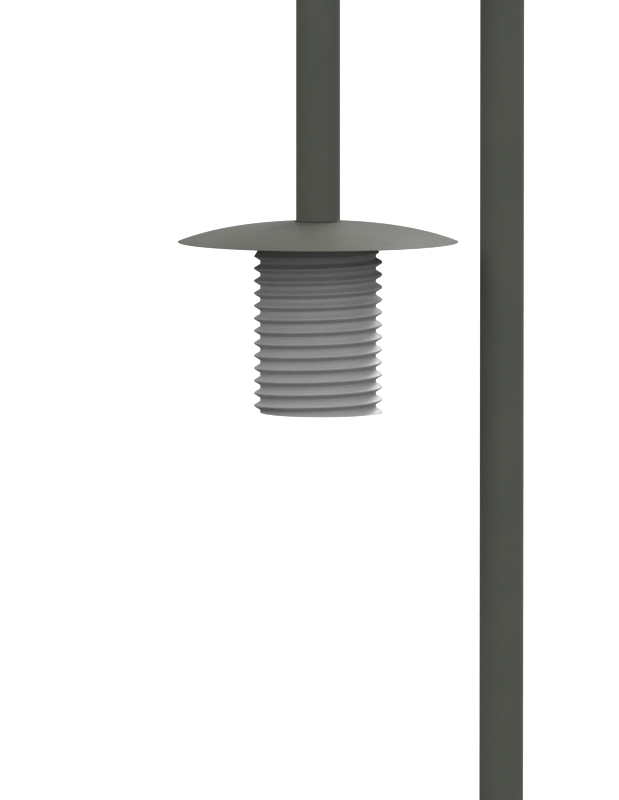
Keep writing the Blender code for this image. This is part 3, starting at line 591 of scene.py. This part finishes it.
def base_weld():
    """A weld bead laid in even ripples round the foot of the shaft."""
    low = heights("base_weld")[0]
    inner = SHAFT_R + GAP

    def loop(turn):
        swell = WELD_SWELL * sin(2 * pi * turn * WELD_RIPPLES)
        leg = WELD_LEG + swell
        crown = [(inner + leg * cos(angle) ** 1.15, low + leg * sin(angle) ** 1.15)
                 for angle in (pi / 2 * step / 6 for step in range(1, 6))]
        return [(inner, low), (inner + leg, low)] + crown + [(inner, low + leg)]

    finished("base_weld_fine", turned_mesh(loop, WELD_RIPPLES * 6), "post", "post_coat",
             ("base_weld",), smooth=60)


def door_prism(name, grow, reach=0.09):
    """A round-cornered block through the front wall, as tall and wide as the door."""
    outline = rounded_outline(DOOR_WIDTH + 2 * grow, DOOR_HIGH - DOOR_LOW + 2 * grow,
                              DOOR_CORNER + grow)
    centre_z = (DOOR_LOW + DOOR_HIGH) / 2
    return tool_object(name, prism_mesh(outline, 0.0, reach), (0, -0.02, centre_z),
                       (pi / 2, 0, 0))


def wall_piece(name, inner, outer, low, high, body, slot, nodes):
    """A plain round wall, ready for its cuts."""
    mesh_data = turned_mesh(lambda turn: softened(ring_loop(inner, outer, low, high), 0.0003, 2),
                            FINE_SIDES)
    return finished(name, mesh_data, body, slot, nodes)


def base_shaft():
    """The wide shaft with its door opening."""
    shaft = wall_piece("base_shaft_fine", SHAFT_BORE_R, SHAFT_R, *heights("base_shaft"), "post",
                       "post_coat", ("base_shaft",))
    carve(shaft, door_prism("opening", 0.0))
    bevel(shaft, 0.0004, 2, 60)


def door_seat():
    """The frame behind the door opening, with the keep for the lock's cam."""
    outer = SHAFT_BORE_R - 2 * GAP
    seat = wall_piece("door_seat_fine", outer - SEAT_WALL, outer, DOOR_LOW - WALL_OVERRUN,
                      DOOR_HIGH + WALL_OVERRUN, "post", "post_coat", ("door_seat",))
    carve(seat, door_prism("outline", SEAT_LAP), "INTERSECT")
    carve(seat, door_prism("opening", -SEAT_LIP))
    keep = [(-KEEP_HALF, -KEEP_FRONT), (KEEP_HALF, -KEEP_FRONT), (KEEP_HALF, -KEEP_BACK),
            (-KEEP_HALF, -KEEP_BACK)]
    carve(seat, tool_object("keep", prism_mesh(keep, KEEP_LOW, KEEP_HIGH)), "UNION")


def service_door():
    """The door skin, cut from the same wall as the shaft, with the lock's hole."""
    door = wall_piece("service_door_fine", SHAFT_BORE_R, SHAFT_R, DOOR_LOW - WALL_OVERRUN,
                      DOOR_HIGH + WALL_OVERRUN, "door", "post_coat", ("service_door",))
    carve(door, door_prism("outline", -DOOR_CLEARANCE), "INTERSECT")
    hole = prism_mesh(round_outline(LOCK_HOLE_R, 64), 0.0, 0.09)
    carve(door, tool_object("lock hole", hole, (0, 0, LOCK_Z), (pi / 2, 0, 0)))
    bevel(door, 0.0005, 3, 60)


def hinge_axis():
    """The pins' (x, y)."""
    return HINGE_AXIS_R * sin(HINGE_ANGLE), -HINGE_AXIS_R * cos(HINGE_ANGLE)


def on_shaft(radius, angle):
    """The (x, y) of a place round the post, from the middle of the door."""
    return radius * sin(angle), -radius * cos(angle)


def leaf_outline(side):
    """A hinge leaf that hugs the shaft and ends in the knuckle; side -1 is the door's leaf."""
    inner = HINGE_AXIS_R - KNUCKLE_R
    outer = inner + LEAF_THICK
    lean = (HINGE_AXIS_R ** 2 + KNUCKLE_R ** 2 - outer ** 2) / (2 * HINGE_AXIS_R * KNUCKLE_R)
    open_angle = acos(lean)
    meet = atan2(KNUCKLE_R * sin(open_angle), HINGE_AXIS_R - KNUCKLE_R * lean)
    far = HINGE_ANGLE + side * LEAF_ARC
    near = HINGE_ANGLE + side * meet
    arc_steps, knuckle_steps = 12, 40
    points = [on_shaft(inner, far + (HINGE_ANGLE - far) * step / arc_steps)
              for step in range(arc_steps)]
    axis_x, axis_y = hinge_axis()
    for step in range(knuckle_steps + 1):
        turn = HINGE_ANGLE + pi / 2 + side * (2 * pi - open_angle) * step / knuckle_steps
        points.append((axis_x + KNUCKLE_R * cos(turn), axis_y + KNUCKLE_R * sin(turn)))
    return points + [on_shaft(outer, near + (far - near) * step / arc_steps)
                     for step in range(1, arc_steps + 1)]


def hinge(place, height):
    """One lift-off hinge: strap on the door, bracket on the shaft and the pin."""
    strap = finished("hinge_strap_%s_fine" % place,
                     prism_mesh(leaf_outline(-1), height + GAP, height + LEAF_HEIGHT), "door",
                     "post_coat", ("hinge_strap_" + place,))
    bore = prism_mesh(round_outline(PIN_R + GAP, 32, hinge_axis()), height - 0.01, height + 0.03)
    carve(strap, tool_object("bore", bore))
    bevel(strap, 0.0004, 3, 50)
    bracket = finished("hinge_bracket_%s_fine" % place,
                       prism_mesh(leaf_outline(1), height - LEAF_HEIGHT, height), "post",
                       "post_coat", ("hinge_bracket_" + place,))
    bevel(bracket, 0.0004, 3, 50)
    x, y = hinge_axis()
    top = height + LEAF_HEIGHT + 0.002
    turned("hinge_pin_" + place, [(0, height - 0.004), (PIN_R, height - 0.004), (PIN_R, top),
                                  (0, top)], "post", "stainless", (), (x, y), 32, 0.0006)


def lock():
    """Flanged barrel, with the three-sided key boss sunk in it."""
    loop = softened([(BARREL_BORE_R, LOCK_BACK), (BARREL_R, LOCK_BACK), (BARREL_R, 0.0575),
                     (FLANGE_R, 0.0575), (FLANGE_R, 0.0588), (0.0125, 0.0600),
                     (BARREL_BORE_R, 0.0600)], 0.0005)
    for name, mesh_data, body, slot, node in (
            ("lock_barrel_fine", turned_mesh(lambda turn: loop, 72), "door", "stainless",
             "lock_barrel"),
            ("lock_spindle_fine", spindle_mesh(), "lock", "contact_brass", "lock_spindle")):
        for vertex in mesh_data.verts:
            x, y, z = vertex.co
            vertex.co = (x, -z, LOCK_Z + y)
        finished(name, mesh_data, body, slot, (node,))


def spindle_mesh():
    """The round spindle with the three-sided key boss in front."""
    core = softened([(0, LOCK_BACK), (SPINDLE_R, LOCK_BACK), (SPINDLE_R, SPINDLE_FRONT),
                     (0, SPINDLE_FRONT)], 0.0003)
    mesh_data = turned_mesh(lambda turn: core, 48)
    boss = softened(round_outline(KEY_BOSS_R, 3, start=pi / 2), 0.0004)
    return prism_mesh(boss, SPINDLE_FRONT - 0.0001, KEY_BOSS_FRONT, mesh_data)


def shoulder_collar():
    """The dished ring over the step from shaft to tube."""
    x, y, outer, low, high = turned_size("shoulder_collar")
    inner = TUBE_R + GAP
    reach = outer - inner - 0.002
    rise = high - low - COLLAR_SKIRT
    rows = [(outer - reach * (step / 24) ** 0.8, low + COLLAR_SKIRT + rise * step / 24)
            for step in range(25)]
    turned("shoulder_collar_fine", [(inner, low), (outer, low)] + rows + [(inner, high)], "post",
           "post_coat", ("shoulder_collar",), (0, 0), FINE_SIDES, 0.0008)


def crook_tube():
    """The bent tube, swept finely down its centre line."""
    foot = heights("crook_tube")[0]
    stations = [(0, foot, 0.0)] + [(0, 1.0 + 0.5 * step, 0.0) for step in range(6)]
    bend_steps = 72
    for step in range(bend_steps + 1):
        angle = pi * step / bend_steps
        stations.append((-BEND_R + BEND_R * cos(angle), BEND_Z + BEND_R * sin(angle), angle))
    stations.append((LAMP_X, RIM_Z + 0.0065, pi))
    mesh_data = bmesh.new()
    rings = []
    for radius in (TUBE_R, TUBE_R - TUBE_WALL):
        for x, z, angle in stations:
            ring = []
            for side in range(TUBE_SIDES):
                turn = 2 * pi * side / TUBE_SIDES
                out = radius * cos(turn)
                ring.append(mesh_data.verts.new((x + out * cos(angle), radius * sin(turn),
                                                 z + out * sin(angle))))
            rings.append(ring)
    order = rings[:len(stations)] + rings[len(stations):][::-1]
    for ring, following in zip(order, order[1:] + order[:1]):
        for side in range(TUBE_SIDES):
            beside = (side + 1) % TUBE_SIDES
            mesh_data.faces.new((ring[side], ring[beside], following[beside],
                                 following[side]))
    finished("crook_tube_fine", mesh_data, "post", "post_coat", ("crook_tube",))


# ---------------------------------------------------------------- canopy

def canopy_height(radius):
    """Height of the canopy's outside over its rim."""
    share = radius / CANOPY_R
    square, fourth = CANOPY_CURVE
    return CANOPY_RISE * (1 - square * share ** 2 - fourth * share ** 4)


def canopy():
    """The spun shell, with a thin rolled edge."""
    hole = TUBE_R + GAP
    rows = 40
    radii = [hole + (CANOPY_R - hole) * (row / rows) ** 0.9 for row in range(rows + 1)]
    outside = [(radius, RIM_Z + canopy_height(radius)) for radius in radii]
    edge = [(CANOPY_R, CANOPY_EDGE), (CANOPY_EDGE_R, CANOPY_EDGE)]
    inside = [(radius, height - CANOPY_SHELL) for radius, height in outside[::-1]
              if radius < CANOPY_EDGE_R - 0.004]
    turned("canopy_fine", outside + edge + inside, "post", "canopy_coat", ("canopy",),
           (LAMP_X, 0), FINE_SIDES, 0.0003)


def tube_seal():
    """The bead of sealant between the tube and the canopy."""
    inner = TUBE_R + 0.0001
    low = RIM_Z + canopy_height(inner) - 0.0002
    bead = [(inner, low), (inner + SEAL_REACH, low)]
    bead += [(inner + SEAL_REACH * cos(angle), low + SEAL_HEIGHT * sin(angle))
             for angle in (pi / 2 * step / 6 for step in range(1, 6))]
    turned("tube_seal_fine", bead + [(inner, low + SEAL_HEIGHT)], "post", "rubber_seal",
           ("tube_seal",), (LAMP_X, 0), FINE_SIDES, 0.0001)


def under_canopy():
    """Underplate, spigot and gasket, seen from below and when the lamp is unscrewed."""
    replaced_ring("canopy_underplate", "post", "canopy_coat", UNDERPLATE_BORE_R, 0.0004,
                  FINE_SIDES)
    low, high = heights("spigot")

    def loop(turn):
        return thread_rows(turn, low, SPIGOT_NECK, **SCREW) + [
            (SCREW["root_r"], SPIGOT_NECK), (SCREW["root_r"], high), (SPIGOT_HOLE_R, high),
            (SPIGOT_HOLE_R, high - SPIGOT_LID), (SPIGOT_BORE_R, high - SPIGOT_LID),
            (SPIGOT_BORE_R, low)]

    finished("spigot_fine", turned_mesh(loop, ROUND_SIDES, centre=(LAMP_X, 0, 0)), "post",
             "raw_alloy", ("spigot",))
    replaced_ring("lamp_gasket", "gasket", "rubber_seal", GASKET_BORE_R)


# ---------------------------------------------------------------- lamp

def bevelled_fin(turn):
    """The helical fin; its groove fades out under the bevel at the top end."""
    crest = FIN["phase"] + FIN["pitch"] * (TOP_CREST + turn)
    start, end = GROOVE_FADE
    fade = min(max((turn - start) / (end - start), 0.0), 1.0)
    made = []
    for radius, height in thread_rows(turn, LAMP_FOOT, LAMP_TOP, **FIN):
        if height > crest:
            radius += (FIN["tip_r"] - radius) * fade
        made.append((min(radius, TOP_BEVEL_R + TOP_BEVEL_SLOPE * (RIM_Z - height)), height))
    return made


def lamp_housing():
    """The housing with its rounded helical fin, bevelled top, cavity and inner thread."""
    inner_thread = dict(SCREW, tip_r=SCREW["tip_r"] + SCREW_CLEARANCE,
                        root_r=SCREW["root_r"] + SCREW_CLEARANCE)

    def loop(turn):
        outside = bevelled_fin(turn)
        inside = thread_rows(turn, NECK_FOOT, LAMP_TOP, **inner_thread)
        return outside + inside[::-1] + list(CAVITY)

    finished("lamp_housing_fine", turned_mesh(loop, FINE_SIDES, centre=(LAMP_X, 0, 0)), "lamp",
             "housing_alloy", ("lamp_housing",), smooth=32)


def ring_places(count, radius, start=0.0):
    """Places (x, y) at even turns on a circle round the lamp's axis."""
    return [(LAMP_X + radius * cos(start + 2 * pi * step / count),
             radius * sin(start + 2 * pi * step / count)) for step in range(count)]


def lamp_optics():
    """What shows through the glass: bezel, glass, reflector, lens plate and board."""
    low, high = heights("bezel_ring")
    loop = [(BEZEL_BORE_R, low), (BEZEL_R, low), (BEZEL_R, high), (BEZEL_STEP_R, high),
            (BEZEL_STEP_R, low + BEZEL_STEP), (BEZEL_BORE_R, low + BEZEL_STEP)]
    bezel = turned("bezel_ring_fine", loop, "lamp", "housing_alloy", ("bezel_ring",), (LAMP_X, 0),
                   FINE_SIDES, 0.0006)
    sinks = bmesh.new()
    for place in ring_places(3, BEZEL_SCREW_RING_R):
        prism_mesh(round_outline(0.0034, 32, place), low - 0.01, low + 0.0030, sinks)
        prism_mesh(round_outline(0.0019, 24, place), low + 0.0029, high + 0.01, sinks)
    carve(bezel, tool_object("sinks", sinks))
    replaced_ring("lamp_glass", "lamp", "lamp_glass", 0.0, 0.0006, FINE_SIDES)
    replaced_ring("glass_seal", "lamp", "rubber_seal", GLASS_SEAL_BORE_R, 0.0005, FINE_SIDES)
    low, high = heights("reflector")
    cone = [(REFLECTOR_MOUTH_R - REFLECTOR_WALL, low), (REFLECTOR_MOUTH_R, low),
            (REFLECTOR_NECK_R, high), (REFLECTOR_NECK_R - REFLECTOR_WALL, high)]
    turned("reflector_fine", cone, "lamp", "bright_alloy", ("reflector",), (LAMP_X, 0),
           FINE_SIDES, 0.0004)
    replaced_ring("led_board", "lamp", "board_white", 0.0, 0.0003)
    lenses()


def lenses():
    """The clear plate with a dome over each diode of the board."""
    low, high = heights("lens_plate")
    under = high - LENS_PLATE_THICK
    plate = turned("lens_plate_fine", ring_loop(0.0, LENS_PLATE_R, under, high), "lamp",
                   "clear_lens", ("lens_plate",), (LAMP_X, 0), ROUND_SIDES, 0.0004)
    root = under - 0.0004
    dome = [(0, under + 0.0005), (LENS_R, under + 0.0005), (LENS_R, root)]
    dome += [(LENS_R * cos(angle), root - (root - low) * sin(angle))
             for angle in (pi / 2 * step / 8 for step in range(1, 8))] + [(0, low)]
    domes = bmesh.new()
    for ring in LENS_RINGS:
        for x, y in ring_places(*ring):
            turned_mesh(lambda turn: dome, 24, domes, (x, y, 0))
    carve(plate, tool_object("domes", domes), "UNION")


# ---------------------------------------------------------------- stage, light and camera

def floor_plane():
    """A wide white floor that doesn't throw light back up at the post."""
    mesh_data = bmesh.new()
    bmesh.ops.create_grid(mesh_data, x_segments=1, y_segments=1, size=400)
    mesh = bpy.data.meshes.new("floor")
    mesh_data.to_mesh(mesh)
    mesh_data.free()
    ground = bpy.data.objects.new("floor", mesh)
    material = bpy.data.materials.new("floor_white")
    material.use_nodes = True
    shader = material.node_tree.nodes["Principled BSDF"]
    shader.inputs["Base Color"].default_value = (0.92, 0.92, 0.92, 1.0)
    shader.inputs["Roughness"].default_value = 0.9
    shader.inputs["Specular IOR Level"].default_value = 0.0
    mesh.materials.append(material)
    bpy.context.scene.collection.objects.link(ground)
    ground.visible_diffuse = False
    ground.visible_glossy = False


def studio():
    """A soft dome: bright overhead, dim below, stronger in front and a little to the right."""
    world = bpy.data.worlds.new("studio")
    bpy.context.scene.world = world
    world.use_nodes = True
    tree = world.node_tree
    tree.nodes.clear()
    coordinates = tree.nodes.new("ShaderNodeTexCoord")
    parts = tree.nodes.new("ShaderNodeSeparateXYZ")
    tree.links.new(coordinates.outputs["Generated"], parts.inputs["Vector"])
    lift = tree.nodes.new("ShaderNodeMapRange")
    lift.inputs["From Min"].default_value = -1.0
    tree.links.new(parts.outputs["Z"], lift.inputs["Value"])
    ramp = tree.nodes.new("ShaderNodeValToRGB")
    elements = ramp.color_ramp.elements
    while len(elements) < len(SKY_STOPS):
        elements.new(0.5)
    for element, (position, level) in zip(elements, SKY_STOPS):
        element.position = position
        element.color = (level, level, level, 1.0)
    tree.links.new(lift.outputs["Result"], ramp.inputs["Fac"])
    dome = tree.nodes.new("ShaderNodeBackground")
    tree.links.new(ramp.outputs["Color"], dome.inputs["Color"])
    strength = tree.nodes.new("ShaderNodeMath")
    strength.operation = "MULTIPLY"
    for slot, (axis, swing) in enumerate((("X", SKY_SIDE), ("Y", -SKY_FRONT))):
        lean = tree.nodes.new("ShaderNodeMapRange")
        lean.inputs["From Min"].default_value = -1.0
        lean.inputs["To Min"].default_value = 1.0 - swing
        lean.inputs["To Max"].default_value = 1.0 + swing
        tree.links.new(parts.outputs[axis], lean.inputs["Value"])
        tree.links.new(lean.outputs["Result"], strength.inputs[slot])
    tree.links.new(strength.outputs["Value"], dome.inputs["Strength"])
    plain = tree.nodes.new("ShaderNodeBackground")
    plain.inputs["Color"].default_value = (1.0, 1.0, 1.0, 1.0)
    rays = tree.nodes.new("ShaderNodeLightPath")
    mix = tree.nodes.new("ShaderNodeMixShader")
    tree.links.new(rays.outputs["Is Camera Ray"], mix.inputs["Fac"])
    tree.links.new(dome.outputs["Background"], mix.inputs[1])
    tree.links.new(plain.outputs["Background"], mix.inputs[2])
    output = tree.nodes.new("ShaderNodeOutputWorld")
    tree.links.new(mix.outputs["Shader"], output.inputs["Surface"])


def key_light():
    """A broad soft sun from above, behind the post and to its right."""
    lamp = bpy.data.lights.new("key", "SUN")
    lamp.energy = SUN_STRENGTH
    lamp.angle = SUN_SPREAD
    holder = bpy.data.objects.new("key", lamp)
    holder.rotation_euler = Vector(SUN_PLACE).to_track_quat("Z", "Y").to_euler()
    bpy.context.scene.collection.objects.link(holder)


def camera():
    """Almost parallel view from the front and a little above the canopy."""
    data = bpy.data.cameras.new("camera")
    data.lens = CAMERA_LENS
    data.clip_end = 2000.0
    holder = bpy.data.objects.new("camera", data)
    holder.location = (AIM_X, -CAMERA_DISTANCE * cos(CAMERA_PITCH),
                       AIM_Z + CAMERA_DISTANCE * sin(CAMERA_PITCH))
    holder.rotation_euler = (pi / 2 - CAMERA_PITCH, 0, 0)
    bpy.context.scene.collection.objects.link(holder)
    bpy.context.scene.camera = holder
    bpy.context.scene.view_settings.view_transform = "Standard"


# ---------------------------------------------------------------- assembly

camera()
studio()
key_light()
floor_plane()
finish_cad_nodes()
base_plate()
base_weld()
base_shaft()
door_seat()
service_door()
for place, height in HINGE_HEIGHTS:
    hinge(place, height)
lock()
shoulder_collar()
crook_tube()
canopy()
tube_seal()
under_canopy()
lamp_housing()
lamp_optics()
